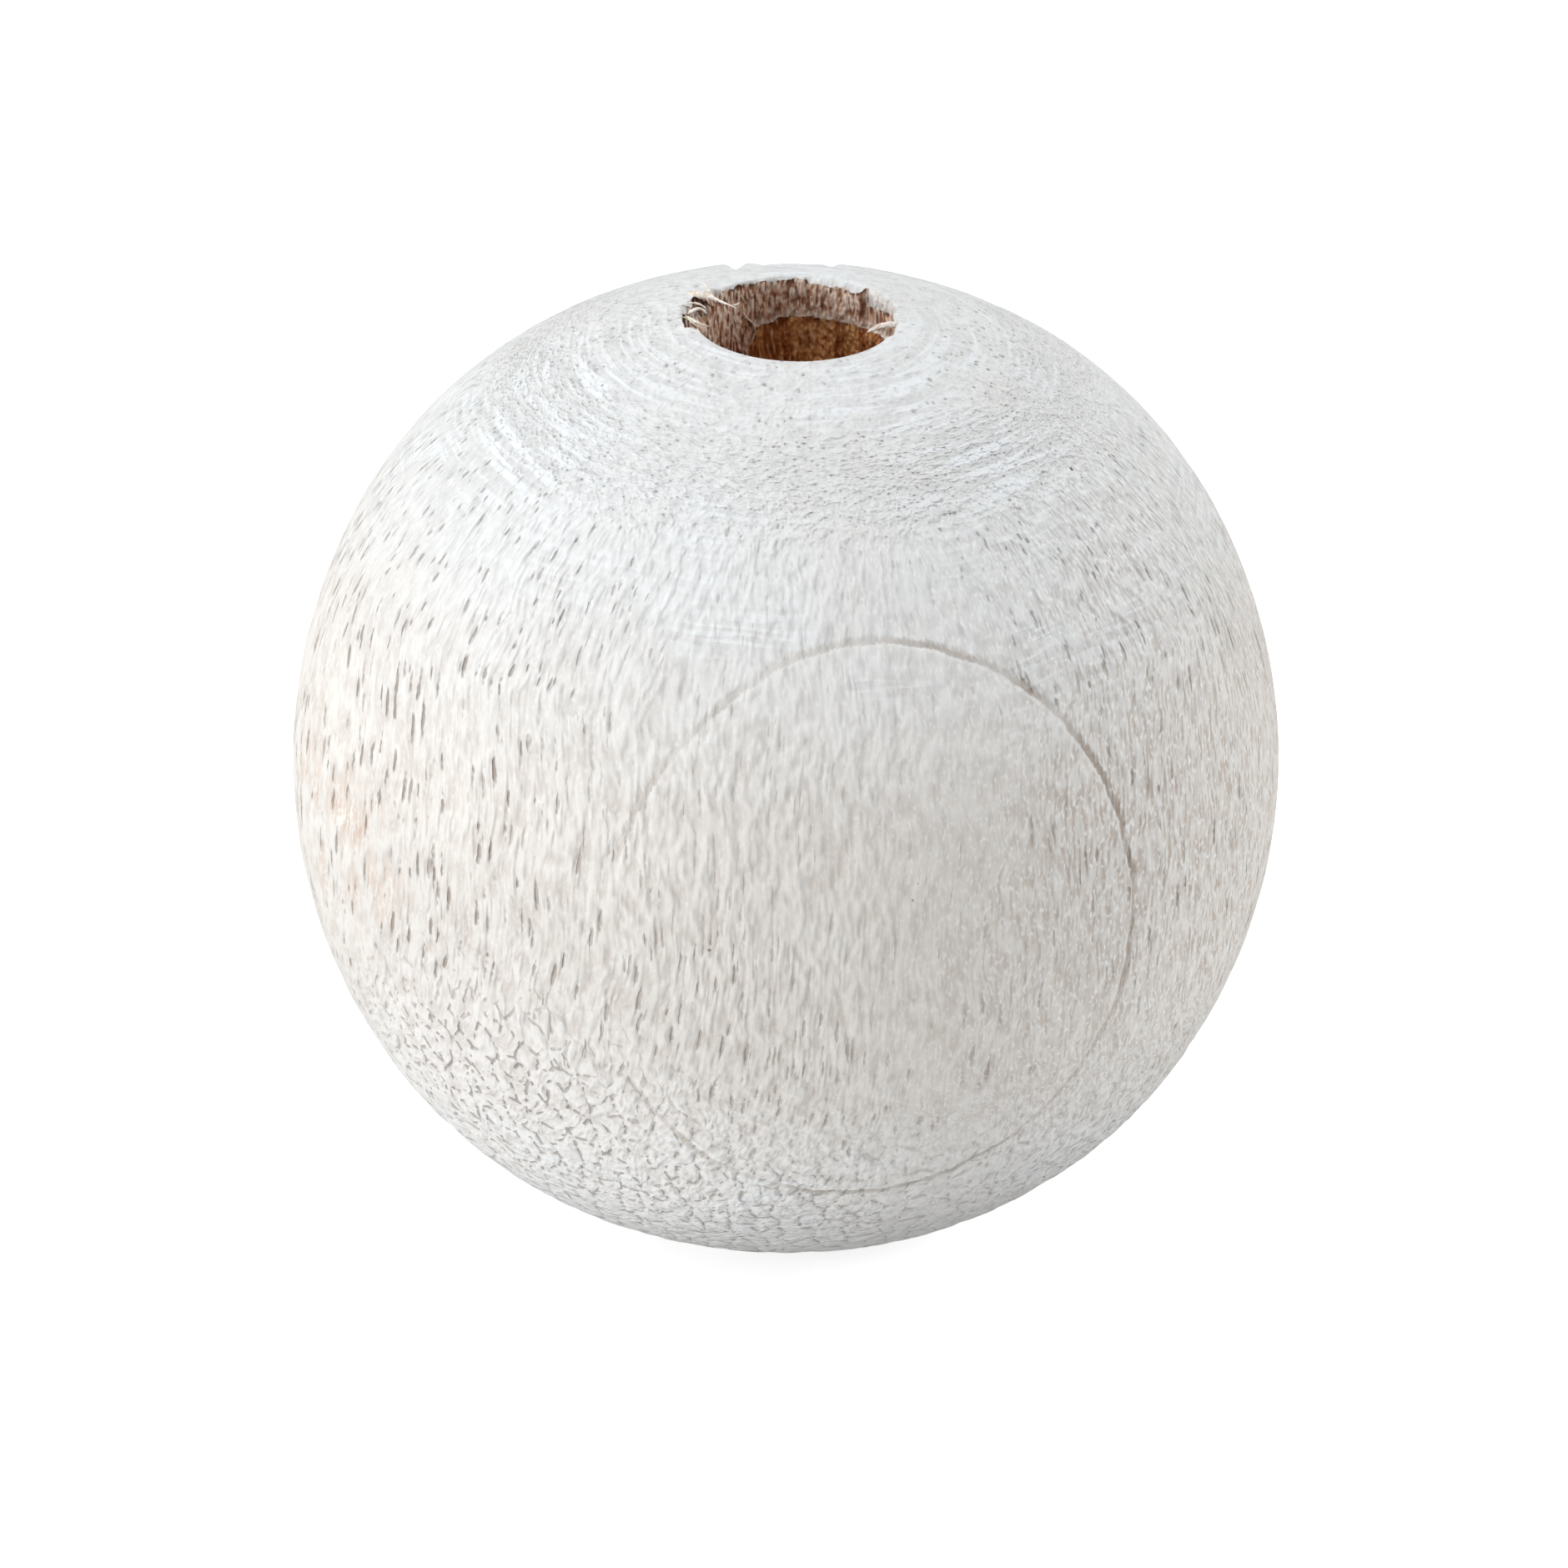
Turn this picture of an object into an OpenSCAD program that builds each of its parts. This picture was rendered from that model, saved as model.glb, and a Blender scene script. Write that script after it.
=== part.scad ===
// Turned wooden craft bead, drilled along the axis that it was turned on.
// It is one piece of wood. The origin is the middle of the bore, and the bore runs along Z.

/* [Turned form] */
// Greatest diameter, round the belt
bead_d = 20; // [14:0.5:40]
// How far the shoulders stand outside a true ball of that diameter
fullness = 0.14; // [0.06:0.01:0.3]
// Width of the flat ring that is faced off round each mouth of the bore
rim_land = 0.2; // [0.1:0.05:0.8]

/* [Bore] */
// Diameter of the bore, which runs right through
bore_d = 4; // [2:0.1:6]

/* [Torn mouth] */
// How far the deepest tear in the edge of the upper mouth reaches outwards
tear_reach = 0.3; // [0.1:0.05:0.6]
// How far the deepest tear runs down the wall of the bore
tear_depth = 0.4; // [0.1:0.05:0.8]
// Depth of the flat flake that has split off the dome behind the upper mouth
flake_depth = 0.1; // [0.04:0.01:0.2]

/* [Hidden] */
$fn = 96;

// The section is three arcs on each quarter, and each runs smoothly into the next: a flat arc
// round the belt, a tighter one over the shoulder, and the flat one again over the end.
blend_angle = 30;
belt_r = bead_d / 2;
shoulder_off = fullness / (sqrt(2) - 1 - 1 / sin(blend_angle) + 1 / tan(blend_angle));
flat_off = shoulder_off * (1 / tan(blend_angle) - 1);
flat_r = belt_r + flat_off;
shoulder_r = flat_r - shoulder_off / sin(blend_angle);
// A line across the corner, through both ends of the shoulder's arc, meets the axes this far out
corner = 2 * shoulder_off + shoulder_r * (sin(blend_angle) + cos(blend_angle));

// The end faces lie where the turned form is just as wide as the bore and its flat ring
bore_r = bore_d / 2;
land_r = bore_r + rim_land;
end_z = sqrt(flat_r * flat_r - land_r * land_r) - flat_off;

// Tears where the drill broke out: the angles from +X towards +Y that each lies between, and
// its reach and its depth as shares of the deepest
tears = [
    [-24, 6, 0.4, 0.5], [4, 47, 0.55, 0.85], [45, 84, 0.3, 0.35],
    [136, 160, 1, 0.6], [158, 182, 0.8, 1], [180, 199, 0.6, 0.5]
];
// The flake faces this way round the axis, and leans over from it by the second angle
flake_turn = 92;
flake_lean = 26;
// Side of the block that splits the flake off
flake_w = 4;

// Outline of one side of the bead, from the wall of the bore outwards
module half_section() {
    intersection() {
        union() {
            for (side = [-1, 1])
                translate([shoulder_off, side * shoulder_off])
                    circle(r = shoulder_r);
            intersection() {
                translate([-flat_off, 0])
                    circle(r = flat_r);
                translate([0, -flat_off])
                    circle(r = flat_r);
                translate([0, flat_off])
                    circle(r = flat_r);
                rotate(45)
                    square(corner * sqrt(2), center = true);
            }
        }
        translate([bore_r, -end_z])
            square([belt_r, 2 * end_z]);
    }
}

module turned_bead() {
    rotate_extrude()
        half_section();
}

// Block whose lower face splits the flake off the dome
module flake() {
    rotate([0, flake_lean, flake_turn])
        translate([-flake_w / 2, -flake_w / 2, belt_r - flake_depth])
            cube([flake_w, flake_w, flake_w]);
}

module split_bead() {
    difference() {
        turned_bead();
        flake();
    }
}

// Wood that a tear takes from the edge of the mouth: it slopes from the end face down to the wall
module tear(from, to, reach, depth) {
    rotate(from)
        rotate_extrude(angle = to - from)
            polygon([
                [bore_r / 2, end_z - depth],
                [bore_r, end_z - depth],
                [bore_r + reach, end_z],
                [bore_r + reach, end_z + depth],
                [bore_r / 2, end_z + depth]
            ]);
}

module bead() {
    color("antiquewhite")
        difference() {
            split_bead();
            for (t = tears)
                tear(t[0], t[1], tear_reach * t[2], tear_depth * t[3]);
        }
}

bead();
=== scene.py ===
"""Turned wooden craft bead with a thin white wash, standing on its lower end on a pale floor."""

import math

import bpy
import numpy as np
from mathutils import Matrix, Vector


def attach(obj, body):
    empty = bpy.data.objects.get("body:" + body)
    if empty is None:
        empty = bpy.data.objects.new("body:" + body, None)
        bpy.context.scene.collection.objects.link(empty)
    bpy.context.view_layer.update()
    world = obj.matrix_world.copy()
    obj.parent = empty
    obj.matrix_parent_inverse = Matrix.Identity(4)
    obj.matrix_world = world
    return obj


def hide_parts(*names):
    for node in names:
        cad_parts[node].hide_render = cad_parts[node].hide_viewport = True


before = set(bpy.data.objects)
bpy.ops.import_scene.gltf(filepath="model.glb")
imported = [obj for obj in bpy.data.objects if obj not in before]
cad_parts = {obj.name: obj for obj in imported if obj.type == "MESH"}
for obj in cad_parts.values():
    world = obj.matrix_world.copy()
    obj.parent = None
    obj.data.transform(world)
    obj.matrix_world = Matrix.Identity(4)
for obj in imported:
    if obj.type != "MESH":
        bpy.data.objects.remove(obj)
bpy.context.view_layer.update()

# ------------------------------------------------------------------------------------------
# The turned form
# A blank of pale, close-grained wood is turned round its bore to a form a little fuller than
# a ball, and its ends are faced off. Lengths are millimetres until the mesh is made.
MM = 0.001
BELT_R = 10.0
FULLNESS = 0.14
BLEND_ANGLE = math.radians(30)
BORE_R = 2.0
RIM_LAND = 0.2

# Centres and radii of the arcs: how far the shoulder's and the flat arcs' centres lie from the
# middle, so that the three arcs touch and the shoulder stands the fullness outside a circle
SHOULDER_OFF = FULLNESS / (
    math.sqrt(2) - 1 - 1 / math.sin(BLEND_ANGLE) + 1 / math.tan(BLEND_ANGLE)
)
FLAT_OFF = SHOULDER_OFF * (1 / math.tan(BLEND_ANGLE) - 1)
FLAT_R = BELT_R + FLAT_OFF
SHOULDER_R = FLAT_R - SHOULDER_OFF / math.sin(BLEND_ANGLE)
LAND_R = BORE_R + RIM_LAND
END_Z = math.sqrt(FLAT_R**2 - LAND_R**2) - FLAT_OFF


def turned_radius(lat):
    """Distance from the centre to the surface at a latitude: where the ray in that direction
    leaves the flat belt arc, the tighter shoulder arc or the flat end arc."""
    lat = np.abs(lat)
    c, s = np.cos(lat), np.sin(lat)
    belt = np.sqrt(FLAT_R**2 - (FLAT_OFF * s) ** 2) - FLAT_OFF * c
    end = np.sqrt(FLAT_R**2 - (FLAT_OFF * c) ** 2) - FLAT_OFF * s
    shoulder = SHOULDER_OFF * (c + s) + np.sqrt(SHOULDER_R**2 - (SHOULDER_OFF * (c - s)) ** 2)
    join = math.atan2(
        SHOULDER_OFF + SHOULDER_R * math.sin(BLEND_ANGLE),
        SHOULDER_OFF + SHOULDER_R * math.cos(BLEND_ANGLE),
    )
    return np.where(lat < join, belt, np.where(lat > math.pi / 2 - join, end, shoulder))


def smoothstep(low, high, value):
    """0 below low, 1 above high, and 3t^2 - 2t^3 between them."""
    t = np.clip((value - low) / (high - low), 0, 1)
    return t * t * (3 - 2 * t)


def value_noise(points, seed):
    """Random values from -1 to 1 on the corners of a unit lattice, blended inside each cell. A
    corner's value is a hash of its place and the seed, so it is the same each run."""
    cell = np.floor(points).astype(np.int64)
    t = points - cell
    t = t * t * (3 - 2 * t)
    total = np.zeros(points.shape[:-1])
    for corner in np.ndindex(2, 2, 2):
        at = cell + np.array(corner)
        key = (at[..., 0] * 73856093) ^ (at[..., 1] * 19349663) ^ (at[..., 2] * 83492791)
        key = key ^ (seed * 2654435)
        key = (key ^ (key >> 13)) * 1274126177
        value = ((key ^ (key >> 16)) & 0xFFFF) / 32767.5 - 1
        weight = np.prod(np.where(np.array(corner) == 1, t, 1 - t), axis=-1)
        total += value * weight
    return total


# ------------------------------------------------------------------------------------------
# The torn upper mouth
# The drill broke out here and tore the grain: the edge has dropped in a few places, a pocket
# is open in the wall on the right, and fibres stand up on the left. Angles are in degrees
# from +X towards +Y, and depths run down from the end face.
RIGHT_POCKET = (13, 47.6)
RIGHT_POCKET_RECESS = 0.13
RIGHT_POCKET_FLOOR = (0.7, 1.05)
LEFT_POCKET = (149, 196)
LEFT_POCKET_RECESS = 0.26
LEFT_POCKET_FLOOR = (0.35, 0.75)
# Wear all round the edge, where nothing has broken out: its reach outwards and its depth
WORN_REACH = 0.02
WORN_DROP = 0.012
# Each break in the edge: where it starts and ends, its reach outwards, its depth and how
# many degrees its ends take to fade
EDGE_BREAKS = [
    (-26, 12, 0.10, 0.16, 8),
    (10, 47.6, 0.14, 0.25, 1.5),
    (46, 86, 0.10, 0.11, 5),
    (138, 158, 0.24, 0.18, 4),
    (156, 181, 0.30, 0.36, 3),
    (179, 199, 0.20, 0.20, 5),
]


def window(angle, start, end, soft):
    """1 between two angles, fading to 0 over soft degrees inside each end."""
    rise = smoothstep(0, soft, (angle - start + 180) % 360 - 180)
    fall = smoothstep(0, soft, (end - angle + 180) % 360 - 180)
    return rise * fall


def ring_noise(angle, height, around, up, seed):
    """Noise on the wall of a cylinder, with a given number of cells round it and a cell height."""
    turn = np.radians(angle)
    r = around / (2 * math.pi)
    place = np.stack([r * np.cos(turn), r * np.sin(turn), height / up], -1)
    return value_noise(place + 50, seed)


def edge_reach(angle):
    """How far the broken edge reaches outwards from the wall at an angle."""
    total = WORN_REACH + 0.012 * ring_noise(angle, 0 * angle, 60, 1, 3)
    for start, end, reach, _, soft in EDGE_BREAKS:
        total = np.maximum(total, reach * window(angle, start, end, soft))
    return total * (1 + 0.35 * ring_noise(angle, 0 * angle, 70, 1, 4))


def edge_drop(angle):
    """How far down the wall the broken edge lies at an angle: most at each break, and a little
    all round the back, made ragged by noise of two sizes."""
    back = smoothstep(-0.2, 0.6, np.sin(np.radians(angle)))
    total = WORN_DROP + 0.02 * back * (1 + ring_noise(angle, 0 * angle, 80, 1, 5))
    for start, end, _, depth, soft in EDGE_BREAKS:
        total = np.maximum(total, depth * window(angle, start, end, soft))
    ragged = ring_noise(angle, 0 * angle, 90, 1, 6)
    ragged = ragged + 0.6 * ring_noise(angle, 0 * angle, 200, 1, 7)
    return total * (1 + 0.22 * ragged) + 0.018 * back * np.maximum(ragged, 0)


def wall_recess(angle, depth):
    """How far the wall of the bore lies outside its true radius at an angle and a depth: the two
    torn pockets, each running out between two depths, and ribs of noise along the grain."""
    right = RIGHT_POCKET_RECESS * window(angle, *RIGHT_POCKET, 1.2)
    right = right * (1 - smoothstep(*RIGHT_POCKET_FLOOR, depth))
    left = LEFT_POCKET_RECESS * window(angle, *LEFT_POCKET, 3)
    left = left * (1 - smoothstep(*LEFT_POCKET_FLOOR, depth))
    wide_ribs = 0.010 * ring_noise(angle, depth, 110, 0.9, 8)
    fine_ribs = 0.006 * ring_noise(angle, depth, 230, 0.6, 9)
    return np.maximum(right, left) + (wide_ribs + fine_ribs)


# ------------------------------------------------------------------------------------------
# The bead
# One piece of wood, and one closed surface: over the outside from mouth to mouth, and back up
# through the bore. The outside isn't quite true: a flake has split off behind the mouth, a
# growth ring stands out, and the wash has dried in lumps.
COLUMNS = 480
OUTSIDE_ROWS = 126
MOUTH_ROWS = 20
FOOT_ROWS = 6
UPPER_WALL_ROWS = 30
LOWER_WALL_ROWS = 16
MOUTH_OUT = 1.0
UPPER_WALL = 2.4
EDGE_ROUND = 0.03
FLAKE_TURN = math.radians(92)
FLAKE_LEAN = math.radians(26)
FLAKE_DEPTH = 0.1
# Nicks that run back across the flake: where each is along X, its depth and its half width
NICKS = [(-1.22, 0.15, 0.13), (0.72, 0.06, 0.10), (-0.65, 0.03, 0.15), (1.9, 0.03, 0.2)]
# The grain leans a little, and one growth ring is cut by the surface at the front right
LEAN = (0.033, -0.031)
RING_CENTRE = (14.36, -72.84)
RING_RADIUS = 66.06
RING_PULLED_IN = 0.14
# How plainly the ring shows, at degrees round its loop from the right
RING_STOPS = [0, 75, 105, 125, 145, 155, 168, 178, 215, 250, 285, 310, 335, 360]
RING_SHOWN = [1.0, 0.8, 0.6, 0.45, 0.4, 0.65, 0.6, 0.12, 0.05, 0.6, 0.8, 0.5, 0.8, 1.0]
# The middle of the ring's loop on the front, across and up
RING_LOOP = (1.0, 1.9)
# How far the wash's marks lean low on the left, and everywhere, and how fully they are
# straightened beside the front
LEAN_LOW_LEFT = 0.34
LEAN_ALL = 0.03
STRAIGHTENED = 0.9
# Depths of the relief: the lumps' hollows, the swell between fibres and the ring's step
LUMP_HOLLOW = 0.03
FIBRE_SWELL = 0.008
RING_STEP = 0.018
# Patches of the outside: a direction from the centre, the angle in degrees within which the
# patch is full, and the angle beyond which it is gone
LUMPY_PATCH = ((-4.8, -6.7, -5.8), 13, 37)
RING_PATCH = ((-2.6, -8.7, 3.8), 4, 22)
CALM_ABOVE = ((0.2, -9.0, 4.6), 14, 37)
CALM_MIDDLE = ((0.1, -9.9, -0.8), 16, 36)
CALM_RIGHT = ((4.9, -8.1, -3.2), 14, 30)
WARM_OUTER = ((-9.3, -3.9, 0.1), 5, 15)
WARM_INNER = ((-8.4, -5.4, 0.1), 3, 10)
MARKED_LEFT = ((-4.99, -2.7, 8.37), 4, 15)
MARKED_RIGHT = ((3.8, -4.1, 8.4), 3, 17)
UNMARKED = ((-7.5, -5.0, 4.0), 10, 32)
FILLED_PATCH = ((-7.2, -6.2, -3.0), 8, 30)


def round_bore(radius, angle, height):
    """Points at a distance from the bore's axis, an angle round it and a height."""
    turn = np.radians(angle)
    return np.stack([radius * np.cos(turn), radius * np.sin(turn), height], -1)


def outside(angle, lat):
    """Points of the turned surface at an angle round the bore and a latitude."""
    r = turned_radius(lat)
    return round_bore(r * np.cos(lat), angle, r * np.sin(lat))


def end_height(r):
    """Height of the upper end at a distance from the bore's axis: a flat ring, then the end arc."""
    return np.minimum(END_Z, np.sqrt(FLAT_R**2 - r**2) - FLAT_OFF)


def facing(points, direction, near, far):
    """1 where the surface faces within near degrees of a direction, 0 beyond far degrees."""
    unit = points / np.linalg.norm(points, axis=-1, keepdims=True)
    aim = np.array(direction) / np.linalg.norm(direction)
    return smoothstep(math.cos(math.radians(far)), math.cos(math.radians(near)), unit @ aim)


def grain_place(points):
    """Place across and along the grain: the plain place, leaning a little, bent by slow noise."""
    x = points[..., 0] + LEAN[0] * points[..., 2]
    y = points[..., 1] + LEAN[1] * points[..., 2]
    bend_x = value_noise(points / 4.5 + 40, 21) * 0.45
    bend_y = value_noise(points / 4.5 + 40, 22) * 0.45
    return np.stack([x + bend_x, y + bend_y, points[..., 2]], -1)


def ring_distance(points):
    """How far a point lies outside the growth ring: distance from the ring's axis less its radius,
    and a little more at the upper left, where the ring is pulled in."""
    x = points[..., 0] + LEAN[0] * points[..., 2] - RING_CENTRE[0]
    y = points[..., 1] + LEAN[1] * points[..., 2] - RING_CENTRE[1]
    return np.hypot(x, y) - RING_RADIUS + RING_PULLED_IN * facing(points, *RING_PATCH)


def lumpy(points):
    """Where the wash ran and dried in lumps: low on the left and under the belt."""
    under = smoothstep(2.6, 6.0, -points[..., 2])
    return np.maximum(facing(points, *LUMPY_PATCH), 0.95 * under)


def paint_place(points):
    """Place of the wash's marks: round the bore, and along the surface from the belt. Over the
    belt the marks follow the surface, because the distance from the axis falls only as
    1 - 0.15 lat^3, and towards the ends they are cut across, where it falls as cos(lat). The
    turn is changed by tanh(lat), so that marks lean low on the left, and by log(cos(lat)), so
    that they stand upright beside the front. Below the belt they are shorter."""
    turn = np.arctan2(points[..., 1], points[..., 0])
    lat = np.arctan2(points[..., 2], np.hypot(points[..., 0], points[..., 1]))
    side = np.degrees(turn)
    low_left = smoothstep(-178, -150, side) * smoothstep(-50, -120, side)
    leaning = LEAN_LOW_LEFT * low_left + LEAN_ALL
    turn = turn - leaning * 0.35 * np.tanh((lat + 0.55) / 0.35)
    sideways = np.cos(turn) * np.sin(turn) / (np.sin(turn) ** 2 + 0.2)
    sideways = sideways * smoothstep(2, -4, points[..., 1])
    turn = turn - STRAIGHTENED * np.log(np.cos(np.clip(lat, -0.5, 0.5))) * sideways
    cut = smoothstep(0.85, 1.15, lat) + smoothstep(-0.55, -0.95, lat)
    from_axis = BELT_R * ((1 - cut) * (1 - 0.15 * np.abs(lat) ** 3) + cut * np.cos(lat))
    along = BELT_R * (lat + 0.7 * np.minimum(lat + 0.25, 0) * smoothstep(-0.1, -0.5, lat))
    place = np.stack([from_axis * np.cos(turn), from_axis * np.sin(turn), along], -1)
    unrest = 0.03 + 0.05 * lumpy(points)
    for axis in range(2):
        place[..., axis] += unrest * value_noise(points / 0.34 + 25, 61 + axis)
        place[..., axis] += 0.10 * value_noise(points / 1.3 + 25, 63 + axis)
    return place


def ring_strength(points):
    """How plainly the ring shows on the front: read off its stops, broken up by noise. It shows
    most on the right, less over the top, and hardly at all on the left."""
    across_loop, up_loop = points[..., 0] - RING_LOOP[0], points[..., 2] - RING_LOOP[1]
    turn = np.degrees(np.arctan2(up_loop, across_loop)) % 360
    broken = 0.75 + 0.5 * value_noise(points / 0.6 + 35, 67)
    shown = np.interp(turn, RING_STOPS, RING_SHOWN) * np.clip(broken, 0, 1.2)
    return shown * (points[..., 1] < 0)


def valley(points):
    """1 along the hollows between the lumps, falling off towards the tops: 1 - |noise|, with the
    noise's own lattice turned away from the axes."""
    place = grain_place(points)
    x = 0.8 * place[..., 0] - 0.6 * place[..., 1]
    y = 0.6 * place[..., 0] + 0.8 * place[..., 1]
    slanted = np.stack([x, y, place[..., 2] + 0.4 * place[..., 0]], -1)
    coarse = value_noise(slanted / (0.44, 0.44, 0.5) + 90, 33)
    fine = 0.25 * value_noise(slanted / (0.25, 0.25, 0.3) + 90, 35)
    return 1 - np.abs(coarse + fine)


def relief(points):
    """How far the surface lies inside its turned form: slow unevenness of two sizes, the lumps'
    hollows, fine swells along the grain, and the step on the outer side of the growth ring,
    which drops at once and comes back slowly."""
    slow = 0.010 * (1 + value_noise(points / 3.1 + 60, 31))
    slow = slow + 0.006 * (1 + value_noise(points / 1.3 + 60, 32))
    lumps = LUMP_HOLLOW * lumpy(points) * valley(points) ** 3
    fibres = FIBRE_SWELL * (1 + value_noise(grain_place(points) / (0.34, 0.34, 1.6) + 70, 34))
    ring = ring_distance(points)
    step = RING_STEP * smoothstep(-0.05, 0.1, ring) * (1 - smoothstep(0.1, 0.9, ring))
    return slow + lumps + fibres + step * (points[..., 1] < 0)


def cut_flake(points):
    """The outside cut off flat where the flake split away, at right angles to its own direction,
    and deeper by exp(-(x / width)^2) of its depth along each nick."""
    out = math.sin(FLAKE_LEAN)
    aim = np.array(
        [out * math.cos(FLAKE_TURN), out * math.sin(FLAKE_TURN), math.cos(FLAKE_LEAN)]
    )
    level = float(turned_radius(np.array(math.pi / 2 - FLAKE_LEAN))) - FLAKE_DEPTH
    over = points @ aim - level + 0.02 * value_noise(points / 0.45 + 20, 41)
    for x, depth, width in NICKS:
        over += depth * np.exp(-(((points[..., 0] - x) / width) ** 2))
    return points - np.maximum(over, 0)[..., None] * aim


angles = np.arange(COLUMNS) * 360 / COLUMNS
reach, drop = edge_reach(angles), edge_drop(angles)
mouth_r = BORE_R + MOUTH_OUT
top_lat = math.atan2(float(end_height(np.array(mouth_r))), mouth_r)
foot_lat = math.atan2(END_Z, LAND_R)

# Mouth: from the wall's edge outwards, close together at first
share = (np.arange(MOUTH_ROWS) / MOUTH_ROWS)[:, None] ** 1.6
mouth_radius = BORE_R + wall_recess(angles, drop)[None, :] * (1 - share) ** 4 + share * MOUTH_OUT
slope = np.clip(1 - (mouth_radius - BORE_R) / np.maximum(reach, 1e-3), 0, None)
rounded = EDGE_ROUND * np.clip(1 - (mouth_radius - BORE_R) / (2 * EDGE_ROUND), 0, 1) ** 2
mouth_z = end_height(mouth_radius) - drop * np.minimum(slope, 1) - rounded
mouth = round_bore(mouth_radius, angles, mouth_z)

# Outside: from the mouth's outer edge to the lower end, at even steps of latitude
lat = np.linspace(top_lat, -foot_lat, OUTSIDE_ROWS)[:, None] * np.ones(COLUMNS)
outer = outside(angles, lat)

# Foot: the faced ring of the lower end, in to the bore
foot_radius = np.linspace(LAND_R, BORE_R, FOOT_ROWS)[1:, None] * np.ones(COLUMNS)
foot_z = -END_Z + EDGE_ROUND * np.clip(1 - (foot_radius - BORE_R) / (2 * EDGE_ROUND), 0, 1) ** 2
foot = round_bore(foot_radius, angles, foot_z)

# Wall: up from the foot, then through the part that shows, to just under the broken edge
lower_z = np.linspace(-END_Z + 2 * EDGE_ROUND, END_Z - UPPER_WALL, LOWER_WALL_ROWS)
lower_z = lower_z[:, None] * np.ones(COLUMNS)
climb = np.linspace(0, 1, UPPER_WALL_ROWS + 2)[1:-1, None]
upper_z = END_Z - UPPER_WALL + climb * (UPPER_WALL - drop - EDGE_ROUND)
wall_z = np.concatenate([lower_z, upper_z])
wall_r = BORE_R + wall_recess(np.broadcast_to(angles, wall_z.shape), END_Z - wall_z)
wall = round_bore(wall_r, angles, wall_z)

# The true form, and the same with its relief and without its flake. The relief begins a
# little way from the mouth, and leaves the foot's ring flat.
turned = np.concatenate([mouth, outer, foot, wall])
skin_rows = MOUTH_ROWS + OUTSIDE_ROWS - 1
skin = turned[:skin_rows]
outward = skin / np.linalg.norm(skin, axis=-1, keepdims=True)
away = smoothstep(BORE_R + 0.15, BORE_R + 0.9, np.hypot(skin[..., 0], skin[..., 1]))
grid = turned.copy()
grid[:skin_rows] = cut_flake(skin - outward * (relief(skin) * away)[..., None])


def closed_grid(name, grid):
    """Mesh of a grid of points that joins up with itself both ways, as the skin of a ring does."""
    rows, columns = grid.shape[:2]
    index = np.arange(rows * columns).reshape(rows, columns)
    right, below = np.roll(index, -1, 1), np.roll(index, -1, 0)
    corner = np.roll(right, -1, 0)
    faces = np.stack([index, below, corner, right], -1).reshape(-1, 4)
    mesh = bpy.data.meshes.new(name)
    mesh.vertices.add(rows * columns)
    mesh.vertices.foreach_set("co", (grid * MM).reshape(-1))
    mesh.loops.add(faces.size)
    mesh.loops.foreach_set("vertex_index", faces.reshape(-1).astype(np.int32))
    mesh.polygons.add(len(faces))
    mesh.polygons.foreach_set("loop_start", np.arange(0, faces.size, 4, dtype=np.int32))
    mesh.polygons.foreach_set("loop_total", np.full(len(faces), 4, dtype=np.int32))
    mesh.polygons.foreach_set("use_smooth", np.ones(len(faces), dtype=bool))
    mesh.update(calc_edges=True)
    mesh.validate()
    return mesh


def surface_values(mesh, name, values):
    """Three numbers at each point of a mesh, for its material to read."""
    made = mesh.attributes.new(name, "FLOAT_VECTOR", "POINT")
    made.data.foreach_set("vector", np.ascontiguousarray(values, dtype=np.float32).reshape(-1))


bead_mesh = closed_grid("turned_bead", grid)
bead = bpy.data.objects.new("turned_bead", bead_mesh)
bpy.context.scene.collection.objects.link(bead)
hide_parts("bead")
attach(bead, "root")

# What the finish reads: three numbers at each point under each name. First the places that
# patterns follow: the grain, the wash's marks, the lathe's cuts, and the dried lumps, whose
# place is flat: the way over the surface from the foot, laid out round it.
across = np.hypot(turned[..., 0], turned[..., 1])
latitude = np.arctan2(turned[..., 2], across)
surface_values(bead_mesh, "grain", grain_place(turned))
surface_values(bead_mesh, "paint_grain", paint_place(turned))
wobble = 0.2 * value_noise(turned / 3.5 + 10, 51) + 0.04 * value_noise(turned / 0.9 + 10, 58)
over = latitude * BELT_R + wobble
surface_values(bead_mesh, "turning", np.stack([over, turned[..., 0], turned[..., 1]], -1))
from_foot = 1.5 + 0.72 * BELT_R * (math.pi / 2 + latitude)
around = np.stack([turned[..., 0] / across, turned[..., 1] / across, 0 * across], -1)
bent = np.stack([value_noise(turned / 0.4 + 25, seed) for seed in (71, 72, 73)], -1)
surface_values(bead_mesh, "lump_place", from_foot[..., None] * around + 0.13 * bent)

# Where the wash is calm and smooth, where it is lumpy, and where end grain begins
calm = np.maximum(facing(turned, *CALM_ABOVE), 0.5 * facing(turned, *CALM_MIDDLE))
calm = np.maximum(calm, 0.45 * facing(turned, *CALM_RIGHT))
in_lumps = lumpy(turned)
ends = smoothstep(2.0, 8.0, np.abs(turned[..., 2]))
surface_values(bead_mesh, "wash_amounts", np.stack([calm, in_lumps, ends], -1))

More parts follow.
